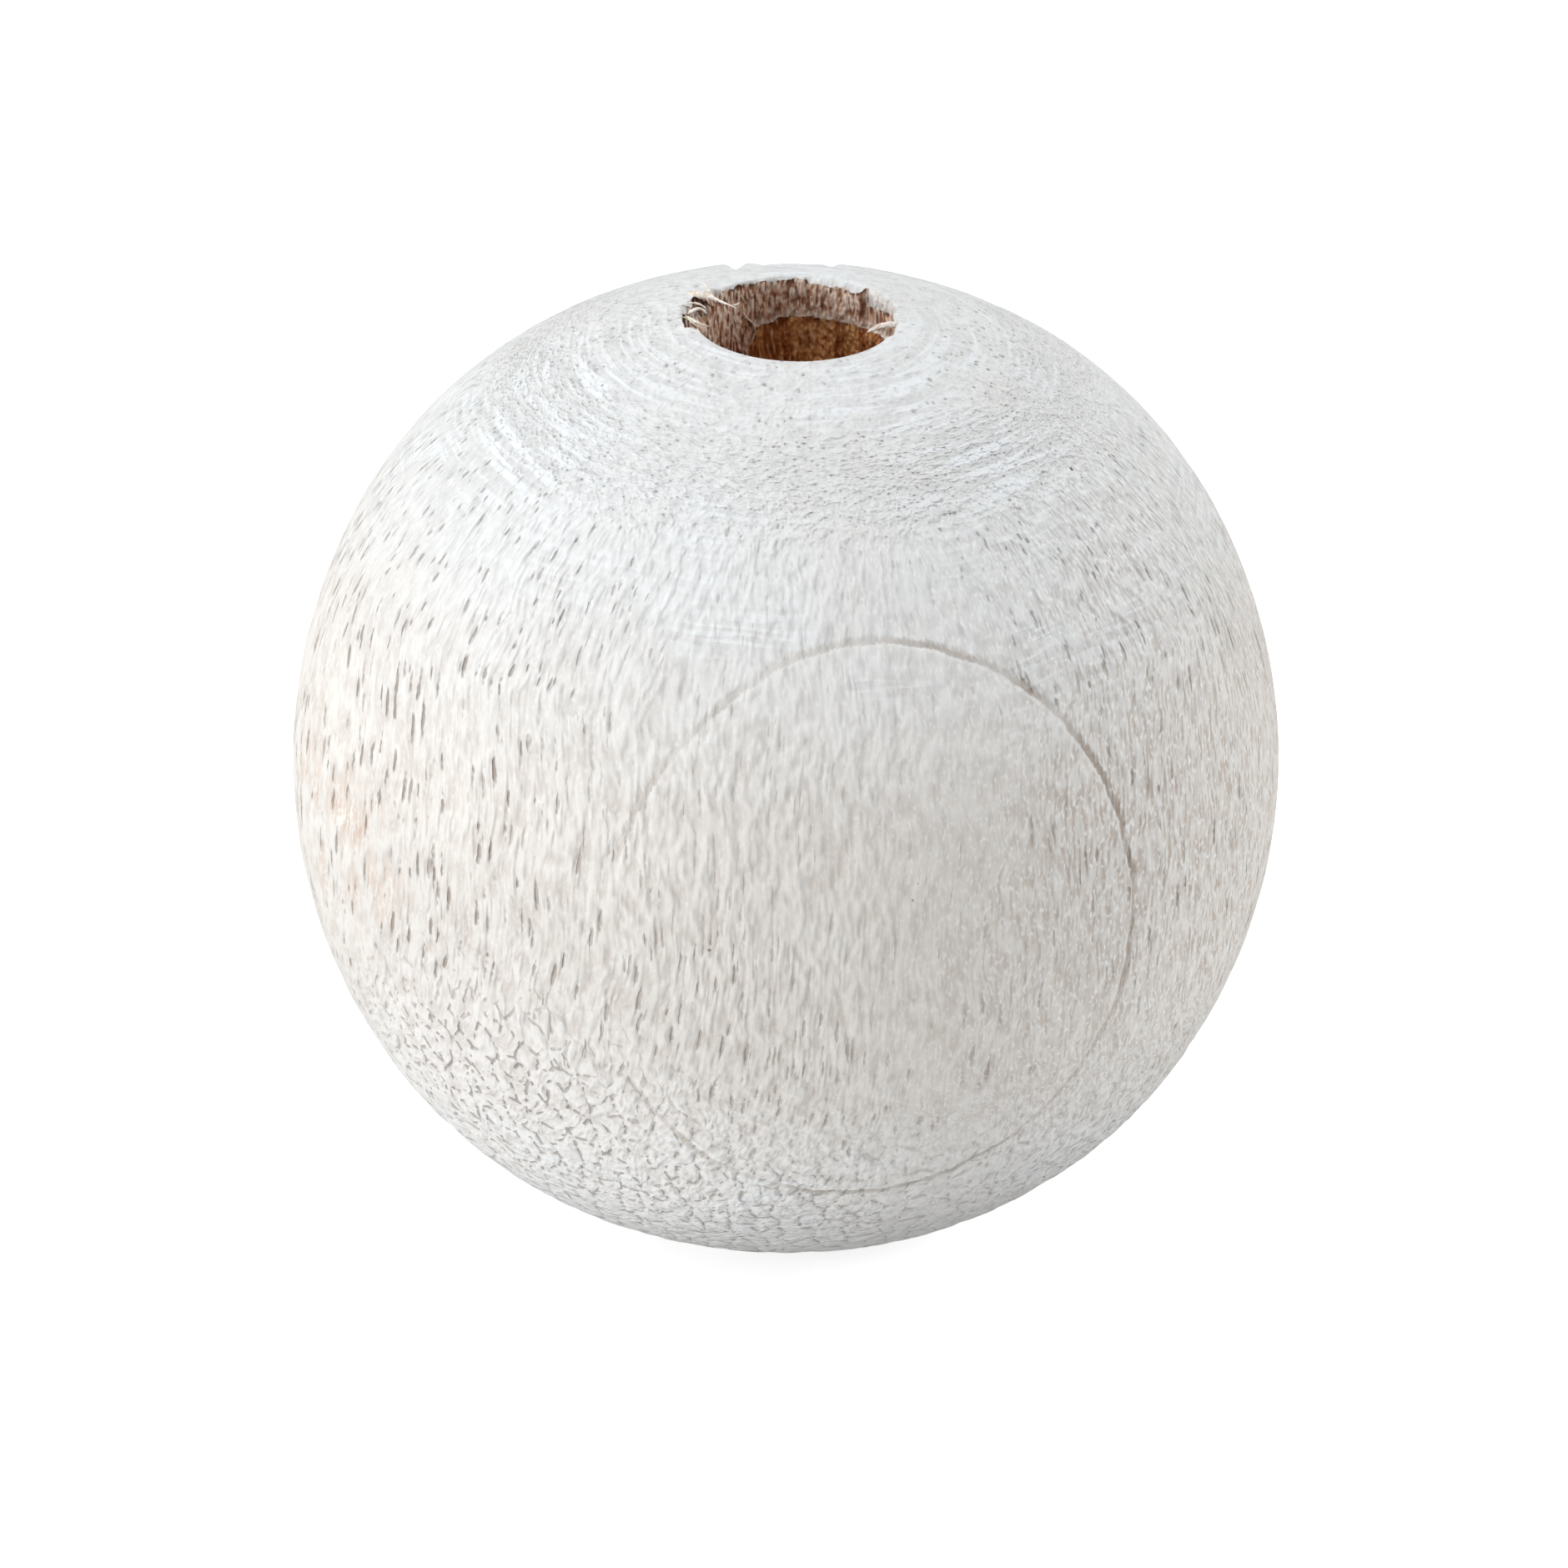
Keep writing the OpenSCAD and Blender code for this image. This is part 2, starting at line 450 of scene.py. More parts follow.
# Cloudiness of the wash, bare warm wood on the left, and the way to the growth ring
cloud = value_noise(turned / 2.2 + 30, 52) + 0.8 * value_noise(turned / 0.8 + 30, 53)
cloud = cloud + 0.7 * value_noise(turned / 0.4 + 30, 59)
warm = np.maximum(facing(turned, *WARM_OUTER), facing(turned, *WARM_INNER))
warm = warm * smoothstep(-0.2, 0.5, value_noise(grain_place(turned) / (0.35, 0.35, 0.8) + 15, 54))
ring = ring_distance(turned) + 0.035 * value_noise(turned / 0.55 + 5, 55)
ring = ring + 0.02 * value_noise(turned / 0.25 + 5, 56)
surface_values(bead_mesh, "tone", np.stack([cloud, warm, ring], -1))

# The stain in the bore: above zero where wood is stained. It goes a step deeper at the back,
# and much deeper on the left. The wash that covers the right pocket's upper part is above
# zero too, and the left pocket is 0 to 1.
STAIN_DEPTH = 0.87
STAIN_STEP = 0.19
STAIN_DEEPER_LEFT = 0.8
POCKET_WASH_DEPTH = 0.40
turn_deg = np.degrees(np.arctan2(turned[..., 1], turned[..., 0]))
depth = END_Z - turned[..., 2]
stain_line = STAIN_DEPTH + STAIN_STEP * smoothstep(92, 114, turn_deg)
stain_line = stain_line + STAIN_DEEPER_LEFT * smoothstep(114, 119, np.abs(turn_deg))
stain = stain_line - (END_Z - np.abs(turned[..., 2]))
in_right = window(turn_deg, *RIGHT_POCKET, 0.8)
in_left = window(turn_deg, *LEFT_POCKET, 1.5) * (1 - smoothstep(0.35, 0.6, depth))
pocket_wash = POCKET_WASH_DEPTH - 0.12 * smoothstep(46, 20, turn_deg) - depth
pocket_wash = np.where(in_right > 0.5, pocket_wash, -1)
surface_values(bead_mesh, "bore_wash", np.stack([stain, pocket_wash, in_left], -1))

# Painted shade and a burnt spot in the bore: the depth under the torn edge, where shade is
# painted, the right pocket's step, painted as in shadow, and the burnt spot, which fades by
# exp(-d^2) round its middle
POCKET_STEP = (46.6, 50.2)
BURNT_TURN = 129
BURNT_HALF_TURN = 6
BURNT_ABOVE_LINE = 0.45
BURNT_HALF_HEIGHT = 0.25
under_edge = depth - edge_drop(turn_deg)
# Where the right pocket's step gets a painted shadow, below the torn edge
pocket_step_shadow = window(turn_deg, *POCKET_STEP, 1.2) * smoothstep(0.75, 0.5, under_edge)
beside = (turn_deg - BURNT_TURN) / BURNT_HALF_TURN
above = (stain - BURNT_ABOVE_LINE) / BURNT_HALF_HEIGHT
burnt = np.exp(-(beside**2) - above**2) * (turn_deg > 0)
surface_values(bead_mesh, "bore_shade_and_burn", np.stack([under_edge, pocket_step_shadow, burnt], -1))

# Wood laid bare at the breaks on the left, how plainly the ring shows, and the lathe's marks
break_share = smoothstep(0.9, 0.3, (across[:MOUTH_ROWS] - BORE_R) / reach)
bared = smoothstep(0.05, 0.16, drop)[None, :] * break_share
torn_bare = np.zeros(across.shape)
torn_bare[:MOUTH_ROWS] = bared * smoothstep(100, 140, np.abs(turn_deg[:MOUTH_ROWS]))
marked_most = np.maximum(facing(turned, *MARKED_LEFT), facing(turned, *MARKED_RIGHT))
marked = smoothstep(-0.15, 0.5, value_noise(turned / (1.7, 1.7, 0.8) + 45, 57))
marked = marked * (1 - facing(turned, *UNMARKED))
marked = 0.65 * marked * smoothstep(3.2, 6.5, np.abs(turned[..., 2]))
marked = np.minimum(marked + 0.65 * marked_most, 1)
surface_values(bead_mesh, "bared", np.stack([torn_bare, ring_strength(turned), marked], -1))

# How thin the wash is, and what share of the pores it has left open: fewer on the right, at
# the back and round the mouth, more on the right shoulder, and a fixed share among the lumps
OPEN_PORES = 0.78
OPEN_IN_LUMPS = 0.3
thin = smoothstep(0.5, 6.0, turned[..., 0]) * smoothstep(9.6, 8.0, turned[..., 2])
near_mouth = 0.3 * smoothstep(7.0, 9.0, turned[..., 2])
far_shoulder = smoothstep(1, 6, turned[..., 0]) * smoothstep(3, 6, turned[..., 2])
filled = 0.24 * facing(turned, *FILLED_PATCH) + 0.16 * smoothstep(-1, 5, turned[..., 1])
open_share = OPEN_PORES - 0.34 * thin + 0.2 * far_shoulder - filled
open_share = open_share + 0.2 * np.clip(cloud, -1, 1) - near_mouth
open_share = (1 - in_lumps) * open_share + OPEN_IN_LUMPS * in_lumps
surface_values(bead_mesh, "thin_wash", np.stack([thin, open_share, 0 * thin], -1))


# ------------------------------------------------------------------------------------------
# Shader groups for turned wood
# Effects that the wash and the drilled wall are made of. Each puts out plain values that change
# over the surface. Places are in millimetres, and the third number runs along the grain.
def shader_node(tree, kind, inputs=None, **settings):
    """A node with its settings made, and each input linked to a socket or set to a value."""
    node = tree.nodes.new(kind)
    for name, value in settings.items():
        setattr(node, name, value)
    for key, value in (inputs or {}).items():
        if isinstance(value, bpy.types.NodeSocket):
            tree.links.new(value, node.inputs[key])
        else:
            node.inputs[key].default_value = value
    return node


def calc(tree, operation, *values):
    """One sum on numbers or sockets."""
    inputs = dict(enumerate(values))
    return shader_node(tree, "ShaderNodeMath", inputs, operation=operation).outputs[0]


def times(tree, a, b):
    """a multiplied by b."""
    return calc(tree, "MULTIPLY", a, b)


def add_times(tree, a, b, to):
    """a multiplied by b, added to a third value."""
    return calc(tree, "MULTIPLY_ADD", a, b, to)


def divide(tree, place, sizes):
    """A place divided by the sizes of a pattern's cells."""
    inputs = {0: place, 1: sizes}
    return shader_node(tree, "ShaderNodeVectorMath", inputs, operation="DIVIDE").outputs[0]


def ramp(tree, value, low, high, out_low=0.0, out_high=1.0):
    """Smooth change from one value to another between two levels."""
    inputs = {"Value": value, 1: low, 2: high, 3: out_low, 4: out_high}
    node = shader_node(tree, "ShaderNodeMapRange", inputs, interpolation_type="SMOOTHSTEP")
    return node.outputs[0]


def blend(tree, factor, a, b):
    """Colour a turned towards colour b."""
    paints = [paint if isinstance(paint, bpy.types.NodeSocket) else (*paint, 1) for paint in (a, b)]
    inputs = {"Factor": factor, 6: paints[0], 7: paints[1]}
    return shader_node(tree, "ShaderNodeMix", inputs, data_type="RGBA").outputs[2]


def read_values(tree, name):
    """The three numbers that the mesh keeps under a name."""
    vector = shader_node(tree, "ShaderNodeAttribute", attribute_name=name).outputs["Vector"]
    return vector, shader_node(tree, "ShaderNodeSeparateXYZ", {0: vector}).outputs


def plain_noise(tree, cells, detail):
    """Noise from 0 to 1, with cells one unit wide, and finer ones added as detail goes up."""
    inputs = {"Vector": cells, "Scale": 1.0, "Detail": detail}
    return shader_node(tree, "ShaderNodeTexNoise", inputs).outputs[0]


def noise(tree, place, sizes, detail):
    """Noise from 0 to 1, with cells of the given sizes in millimetres."""
    scale = tuple(1 / size for size in sizes)
    cells = shader_node(tree, "ShaderNodeMapping", {"Vector": place, "Scale": scale}).outputs[0]
    return plain_noise(tree, cells, detail)


def new_group(name, inputs, outputs):
    """An empty shader group with its sockets, its input node and its output node."""
    group = bpy.data.node_groups.new(name, "ShaderNodeTree")
    for socket, value in inputs.items():
        kind = "NodeSocketVector" if value is None else "NodeSocketFloat"
        made = group.interface.new_socket(socket, in_out="INPUT", socket_type=kind)
        if value is not None:
            made.default_value = value
    for socket in outputs:
        group.interface.new_socket(socket, in_out="OUTPUT", socket_type="NodeSocketFloat")
    given = group.nodes.new("NodeGroupInput").outputs
    result = group.nodes.new("NodeGroupOutput").inputs
    return group, given, result


def long_cells(group, place, width, length):
    """A place divided by a width across the grain and a length along it."""
    sizes = shader_node(group, "ShaderNodeCombineXYZ", {0: width, 1: width, 2: length}).outputs[0]
    return divide(group, place, sizes)


def make_streaks():
    """Noise drawn out along the grain, from 0 to 1."""
    inputs = {"Place": None, "Width": 0.1, "Length": 2.0}
    group, given, result = new_group("grain_streaks", inputs, ["Value"])
    cells = long_cells(group, given["Place"], given["Width"], given["Length"])
    group.links.new(plain_noise(group, cells, 0.0), result["Value"])
    return group


def make_pores():
    """Cut vessels: long thin cells, which show as dashes along the grain and as dots across it.
    Depth is 1 in the middle of an open one, only the given share of them is open, and Dimple is
    the soft hollow that the paint makes round each."""
    numbers = {"Spacing": 0.13, "Length": 2.2, "Size": 0.27, "Share": 0.5, "Ragged": 0.0}
    group, given, result = new_group("open_pores", {"Place": None, **numbers}, ["Depth", "Dimple"])
    cells = long_cells(group, given["Place"], given["Spacing"], given["Length"])
    cell = shader_node(group, "ShaderNodeTexVoronoi", {"Vector": cells, "Scale": 1.0}).outputs
    lot = shader_node(group, "ShaderNodeSeparateColor", {0: cell["Color"]}).outputs
    closed = calc(group, "SUBTRACT", 1.0, given["Share"])
    opened = ramp(group, lot[0], closed, calc(group, "ADD", closed, 0.5))
    width = times(group, given["Size"], add_times(group, lot[1], 0.8, 0.6))
    edge = calc(group, "ADD", cell["Distance"], given["Ragged"])
    inside = ramp(group, edge, width, times(group, width, 0.4))
    bowl = ramp(group, cell["Distance"], 0.8, 0.0)
    group.links.new(times(group, inside, opened), result["Depth"])
    group.links.new(times(group, bowl, add_times(group, opened, 0.7, 0.3)), result["Dimple"])
    return group


def make_lumps():
    """Paint dried in round lumps: Dome is 1 over the middle of each and falls off at its edge, and
    Crease is 1 in the narrow gaps between them."""
    inputs = {"Place": None, "Width": 0.4}
    group, given, result = new_group("dried_lumps", inputs, ["Dome", "Crease"])
    cells = {"Vector": divide(group, given["Place"], given["Width"]), "Scale": 1.0}
    flat = {"voronoi_dimensions": "2D", "feature": "DISTANCE_TO_EDGE"}
    edge = shader_node(group, "ShaderNodeTexVoronoi", cells, **flat).outputs["Distance"]
    group.links.new(ramp(group, edge, -0.10, 0.34), result["Dome"])
    group.links.new(ramp(group, edge, 0.11, 0.02), result["Crease"])
    return group


STREAKS = make_streaks()
PORES = make_pores()
LUMPS = make_lumps()


def use_group(tree, group, **inputs):
    """The outputs of a placed group, with its inputs linked or set."""
    return shader_node(tree, "ShaderNodeGroup", inputs, node_tree=group).outputs


def new_finish(name):
    """A new material and its nodes."""
    finish = bpy.data.materials.new(name)
    finish.use_nodes = True
    return finish, finish.node_tree


def set_skin(tree, colour, roughness, shine, height, rise):
    """A finish's colour, roughness and shine, and its fine relief: height times rise, in metres."""
    skin = tree.nodes["Principled BSDF"]
    skin.inputs["Roughness"].default_value = roughness
    skin.inputs["Specular IOR Level"].default_value = shine
    tree.links.new(colour, skin.inputs["Base Color"])
    bump_inputs = {"Height": height, "Strength": 1.0, "Distance": rise}
    bump = shader_node(tree, "ShaderNodeBump", bump_inputs).outputs[0]
    tree.links.new(bump, skin.inputs["Normal"])


# ------------------------------------------------------------------------------------------
# White wash on the outside
# A thin water paint. It has sunk into the grain, dried in lumps low on the left, and left most
# pores open, where the brown of the wood shows. On the ends it took the marks of the lathe.
WASH_BELT = (0.86, 0.835, 0.795)
WASH_END = (0.82, 0.84, 0.848)
WASH_SHADE = (0.72, 0.69, 0.655)
WASH_COOL = (0.89, 0.93, 0.96)
WASH_THICK = (0.905, 0.895, 0.875)
WASH_FLECK = (0.93, 0.93, 0.92)
VEIL_BELT = (0.62, 0.555, 0.50)
VEIL_END = (0.64, 0.655, 0.66)
HOLLOW_BELT = (0.50, 0.40, 0.325)
HOLLOW_END = (0.55, 0.53, 0.50)
MARK_SHADE = (0.62, 0.635, 0.65)
PORE_BROWN = (0.25, 0.18, 0.132)
WARM_WOOD = (0.72, 0.58, 0.48)
RING_BROWN = (0.33, 0.26, 0.20)
RING_LIGHT = (0.93, 0.92, 0.9)
TORN_DARK = (0.36, 0.20, 0.13)
TORN_PALE = (0.80, 0.68, 0.58)
WASH_ROUGH = 0.72
WASH_SHINE = 0.3
# Sizes of the patterns' cells, across the grain and along it. A lathe mark is narrow over the
# surface and long round it.
SPECKLE_CELLS = (0.06, 0.06, 0.12)
RIDGE_CELLS = (0.29, 0.29, 0.5)
BREAK_CELLS = (0.15, 0.15, 0.26)
MARK_CELLS = (0.11, 1.6, 1.6)
PORE_SPACING = 0.13
PORE_LENGTH = 0.9
LUMP_WIDTH = 0.45
HAIR_WIDTH = 0.08
HAIR_LENGTH = 0.45
# Heights of the fine relief, in millimetres: cuts are below zero
PORE_CUT = -0.035
DIMPLE_CUT = -0.03
LUMP_RISE = 0.035
HAIR_CUT = -0.025
RIDGE_CUT = -0.12
MARK_RISE = 0.012
RING_CUT = -0.03
# Specks that dried into the wash: place, half width and colour
SPECKS = [
    ((-2.28, -9.02, -3.78), 0.045, (0.30, 0.03, 0.05)),
    ((-1.84, -8.94, -4.23), 0.05, (0.52, 0.50, 0.22)),
    ((-1.44, -9.88, 0.52), 0.04, (0.16, 0.12, 0.10)),
    ((2.66, -9.47, 1.88), 0.035, (0.18, 0.14, 0.11)),
    ((2.58, -9.55, 1.55), 0.03, (0.20, 0.15, 0.12)),
    ((5.58, -2.89, 7.93), 0.045, (0.16, 0.13, 0.11)),
]
SPECK_EDGE = 0.04

wash, tree = new_finish("white_wash")
grain, _ = read_values(tree, "paint_grain")
lump_place, _ = read_values(tree, "lump_place")
turning, _ = read_values(tree, "turning")
_, amounts = read_values(tree, "wash_amounts")
calm_amount, lump_amount, end_amount = amounts[0], amounts[1], amounts[2]
_, tone = read_values(tree, "tone")
cloudy, warmth, ring_gap = tone[0], tone[1], tone[2]
_, shown = read_values(tree, "bared")
torn_amount, ring_amount, mark_amount = shown[0], shown[1], shown[2]
_, thinness = read_values(tree, "thin_wash")
thin_amount, pore_share = thinness[0], thinness[1]

# Patterns: speckle, open pores, hairs of the grain, soft ridges, lumps and lathe marks
open_amount = add_times(tree, calm_amount, -0.8, 1.0)
speckle = noise(tree, grain, SPECKLE_CELLS, 0.0)
pores = use_group(
    tree,
    PORES,
    Place=grain,
    Spacing=PORE_SPACING,
    Length=PORE_LENGTH,
    Size=ramp(tree, end_amount, 0.2, 1.0, 0.34, 0.24),
    Share=pore_share,
    Ragged=add_times(tree, speckle, 0.34, -0.17),
)
hair = use_group(tree, STREAKS, Place=grain, Width=HAIR_WIDTH, Length=HAIR_LENGTH)[0]
ridges = noise(tree, grain, RIDGE_CELLS, 1.0)
lumps = use_group(tree, LUMPS, Place=lump_place, Width=LUMP_WIDTH)
broken = ramp(tree, noise(tree, grain, BREAK_CELLS, 0.0), 0.50, 0.60)
crack = times(tree, times(tree, lumps["Crease"], broken), times(tree, lump_amount, 0.85))
pore_mask = times(tree, calc(tree, "MAXIMUM", pores["Depth"], crack), open_amount)
marks = noise(tree, turning, MARK_CELLS, 0.0)
mark_level = times(tree, ramp(tree, marks, 0.50, 0.64), mark_amount)

# Ground colour: warmer round the belt, cooler on the ends, in clouds, and whiter on the lumps
colour = blend(tree, end_amount, WASH_BELT, WASH_END)
colour = blend(tree, ramp(tree, cloudy, -1.2, 1.4, 0.0, 0.36), colour, WASH_SHADE)
colour = blend(tree, times(tree, lump_amount, 0.8), colour, WASH_THICK)

# The grain through the wash: hairs where it has worn thin, a veil in the hollows, white flecks
hollow = times(tree, ramp(tree, hair, 0.45, 0.70), open_amount)
hollow = times(tree, hollow, add_times(tree, thin_amount, 0.48, 0.14))
colour = blend(tree, hollow, colour, blend(tree, end_amount, HOLLOW_BELT, HOLLOW_END))
veil = ramp(tree, ridges, 0.42, 0.68, 0.0, 0.45)
colour = blend(tree, veil, colour, blend(tree, end_amount, VEIL_BELT, VEIL_END))
fleck = times(tree, ramp(tree, speckle, 0.5, 0.8), add_times(tree, thin_amount, 0.6, 0.4))
colour = blend(tree, fleck, colour, WASH_FLECK)

# Lathe marks, grey in their hollows and white on their crests, and the warm patch
mark_hollow = times(tree, ramp(tree, marks, 0.49, 0.38), mark_amount)
colour = blend(tree, times(tree, mark_hollow, 0.38), colour, MARK_SHADE)
colour = blend(tree, times(tree, mark_level, 0.8), colour, WASH_COOL)
patch = times(tree, warmth, ramp(tree, calc(tree, "ADD", hair, speckle), 0.85, 1.15))
colour = blend(tree, times(tree, patch, 0.85), colour, WARM_WOOD)

# The growth ring: a brown line with a soft outer side, and a pale line just inside it
ring_at = calc(tree, "ADD", ring_gap, add_times(tree, speckle, 0.06, -0.03))
ring_dark = times(tree, ramp(tree, ring_at, -0.005, 0.015), ramp(tree, ring_at, 0.13, 0.04))
ring_dark = times(tree, ring_dark, ring_amount)
ring_pale = times(tree, ramp(tree, ring_gap, -0.06, -0.02), ramp(tree, ring_gap, 0.005, -0.01))
ring_pale = times(tree, ring_pale, ring_amount)
colour = blend(tree, times(tree, ring_pale, 0.6), colour, RING_LIGHT)
colour = blend(tree, times(tree, ring_dark, 0.75), colour, RING_BROWN)

# Open pores and cracks, the specks, and the wood laid bare at the torn mouth
darkness = ramp(tree, end_amount, 0.2, 1.0, 0.66, 0.45)
colour = blend(tree, times(tree, pore_mask, darkness), colour, PORE_BROWN)
place = shader_node(tree, "ShaderNodeTexCoord").outputs["Object"]
scaled = {0: place, "Scale": 1 / MM}
place = shader_node(tree, "ShaderNodeVectorMath", scaled, operation="SCALE").outputs[0]
for spot, radius, paint in SPECKS:
    both = {0: place, 1: spot}
    away = shader_node(tree, "ShaderNodeVectorMath", both, operation="DISTANCE").outputs["Value"]
    away = add_times(tree, speckle, 0.05, away)
    colour = blend(tree, ramp(tree, away, radius + SPECK_EDGE, radius), colour, paint)
torn_wood = blend(tree, ramp(tree, speckle, 0.35, 0.65), TORN_DARK, TORN_PALE)
colour = blend(tree, torn_amount, colour, torn_wood)

# The fine relief, one cut or rise over another
height = times(tree, pore_mask, PORE_CUT)
height = add_times(tree, times(tree, pores["Dimple"], open_amount), DIMPLE_CUT, height)
height = add_times(tree, times(tree, lumps["Dome"], lump_amount), LUMP_RISE, height)
height = add_times(tree, times(tree, hair, open_amount), HAIR_CUT, height)
height = add_times(tree, ridges, RIDGE_CUT, height)
height = add_times(tree, mark_level, MARK_RISE, height)
height = add_times(tree, ring_dark, RING_CUT, height)
set_skin(tree, colour, WASH_ROUGH, WASH_SHINE, height, MM)
bead_mesh.materials.append(wash)

# ------------------------------------------------------------------------------------------
# Wall of the bore
# Bare drilled wood. The wash ran in at each end and stained it down to an uneven line, and
# covered the broken wood in the pockets. Painted shade darkens the wall just under the torn edge.
BARE_DEEP = (0.46, 0.17, 0.05)
BARE_BRIGHT = (0.80, 0.43, 0.18)
BARE_HAIR = (0.86, 0.60, 0.38)
BARE_GROOVE = (0.20, 0.06, 0.016)
STAINED_DEEP = (0.78, 0.50, 0.35)
STAINED_PALE = (0.95, 0.75, 0.60)
STAINED_BLOT = (0.97, 0.85, 0.75)
STAINED_PIT = (0.36, 0.14, 0.07)
STAINED_HAIR = (0.95, 0.82, 0.70)
STAINED_GROOVE = (0.20, 0.09, 0.05)
STAIN_GREY = (0.80, 0.72, 0.65)
STAIN_LIP = (0.92, 0.86, 0.80)
STAIN_FOOT = (0.16, 0.06, 0.03)
POCKET_DARK = (0.34, 0.18, 0.11)
POCKET_PALE = (0.92, 0.86, 0.78)
POCKET_WHITE = (0.86, 0.84, 0.81)
# Painted shade, for the band just under the torn edge
EDGE_SHADE_DARK = (0.11, 0.045, 0.025)
# Painted shadow, for the right pocket's step
STEP_SHADOW = (0.14, 0.06, 0.03)
BURNT_RED = (0.30, 0.05, 0.02)
WALL_ROUGH = 0.6
WALL_SHINE = 0.3
CHIP_CELLS = (0.07, 0.07, 0.1)
BLOT_CELLS = (0.11, 0.11, 0.19)
EDGE_CELLS = (0.15, 0.15, 0.15)
# Heights of the wall's fine relief, in millimetres
GROOVE_RISE = 0.06
BLOT_RISE = 0.14

raw, tree = new_finish("drilled_wall")
grain, _ = read_values(tree, "grain")
_, washed = read_values(tree, "bore_wash")
stain_depth, pocket_level, torn_pocket = washed[0], washed[1], washed[2]
_, dark = read_values(tree, "bore_shade_and_burn")
edge_gap, step_shadow_amount, burnt_amount = dark[0], dark[1], dark[2]
groove = use_group(tree, STREAKS, Place=grain, Width=0.07, Length=0.32)[0]
broad = use_group(tree, STREAKS, Place=grain, Width=0.2, Length=2.5)[0]
chip = noise(tree, grain, CHIP_CELLS, 1.0)
blot = noise(tree, grain, BLOT_CELLS, 1.0)
uneven = add_times(tree, noise(tree, grain, EDGE_CELLS, 2.0), 0.16, -0.08)
below = calc(tree, "ADD", stain_depth, uneven)

# Bare wood in the middle, and the same wood stained by the wash towards each end
bare = blend(tree, ramp(tree, broad, 0.40, 0.60), BARE_DEEP, BARE_BRIGHT)
bare = blend(tree, ramp(tree, groove, 0.58, 0.75, 0.0, 0.7), bare, BARE_HAIR)
bare = blend(tree, ramp(tree, groove, 0.42, 0.28, 0.0, 0.6), bare, BARE_GROOVE)
tinted = blend(tree, ramp(tree, broad, 0.3, 0.7), STAINED_DEEP, STAINED_PALE)
tinted = blend(tree, ramp(tree, blot, 0.53, 0.64, 0.0, 0.85), tinted, STAINED_BLOT)
tinted = blend(tree, ramp(tree, blot, 0.47, 0.36, 0.0, 0.85), tinted, STAINED_PIT)
tinted = blend(tree, ramp(tree, groove, 0.56, 0.72, 0.0, 0.6), tinted, STAINED_HAIR)
tinted = blend(tree, ramp(tree, groove, 0.43, 0.30, 0.0, 0.8), tinted, STAINED_GROOVE)

# The stain's end: a grey band, then a pale lip, with a broken dark line under it
stained = ramp(tree, below, -0.012, 0.012)
grey_band = times(tree, stained, ramp(tree, stain_depth, 0.24, 0.05))
tinted = blend(tree, times(tree, grey_band, 0.45), tinted, STAIN_GREY)
pale_lip = times(tree, stained, ramp(tree, below, 0.07, 0.02))
tinted = blend(tree, times(tree, pale_lip, 0.7), tinted, STAIN_LIP)
colour = blend(tree, stained, bare, tinted)
dark_line = times(tree, ramp(tree, below, -0.10, -0.03), ramp(tree, below, 0.01, -0.02))
colour = blend(tree, times(tree, dark_line, ramp(tree, chip, 0.4, 0.6)), colour, STAIN_FOOT)

# The left pocket's chipped wood, painted shade under the edge, white wash in the right pocket
# down to its step, a painted shadow at that step, and the burnt spot
chipped = blend(tree, ramp(tree, chip, 0.42, 0.58), POCKET_DARK, POCKET_PALE)
colour = blend(tree, ramp(tree, torn_pocket, 0.2, 0.6), colour, chipped)
# Painted shade: a dark band just under the torn edge, broken up by the blots
painted_edge_shade = times(tree, ramp(tree, edge_gap, 0.13, 0.04), ramp(tree, blot, 0.53, 0.45))
colour = blend(tree, times(tree, painted_edge_shade, 0.9), colour, EDGE_SHADE_DARK)
colour = blend(tree, ramp(tree, pocket_level, -0.02, 0.02), colour, POCKET_WHITE)
# Painted shadow: a dark line down the right pocket's step
colour = blend(tree, times(tree, step_shadow_amount, 0.8), colour, STEP_SHADOW)
scorched = times(tree, burnt_amount, ramp(tree, groove, 0.55, 0.42))
colour = blend(tree, scorched, colour, BURNT_RED)
height = add_times(tree, groove, GROOVE_RISE, times(tree, blot, BLOT_RISE))
set_skin(tree, colour, WALL_ROUGH, WALL_SHINE, height, MM)
bead_mesh.materials.append(raw)

# The wall's rows are the grid's last ones, and the faces that join them to the foot
wall_faces = np.zeros(grid.shape[:2], dtype=np.int32)
wall_faces[-len(wall) - 1 :] = 1
bead_mesh.polygons.foreach_set("material_index", wall_faces.reshape(-1))

# ------------------------------------------------------------------------------------------
# Torn fibres
# Slivers of wood that the drill lifted round the upper mouth, most of them on the left. Each is
# rooted in the torn edge and stands out over the bore, and the wash has dried on it.
FIBRE_ROWS = 18
FIBRE_SIDES = 10
FIBRE_FLATNESS = 0.75
FIBRE_BLUNTNESS = 0.6
FIBRE_UNEVEN = 0.35
KNOT_SIZE = 0.09
FIBRE_BARE = (0.70, 0.56, 0.46)
FIBRE_WASHED = (0.92, 0.90, 0.86)
FIBRE_GREENISH = (0.55, 0.55, 0.33)
FIBRE_ROUGH = 0.65
FIBRE_SHINE = 0.3
DABS_PER_MM = 14
DAB_RISE = 0.02
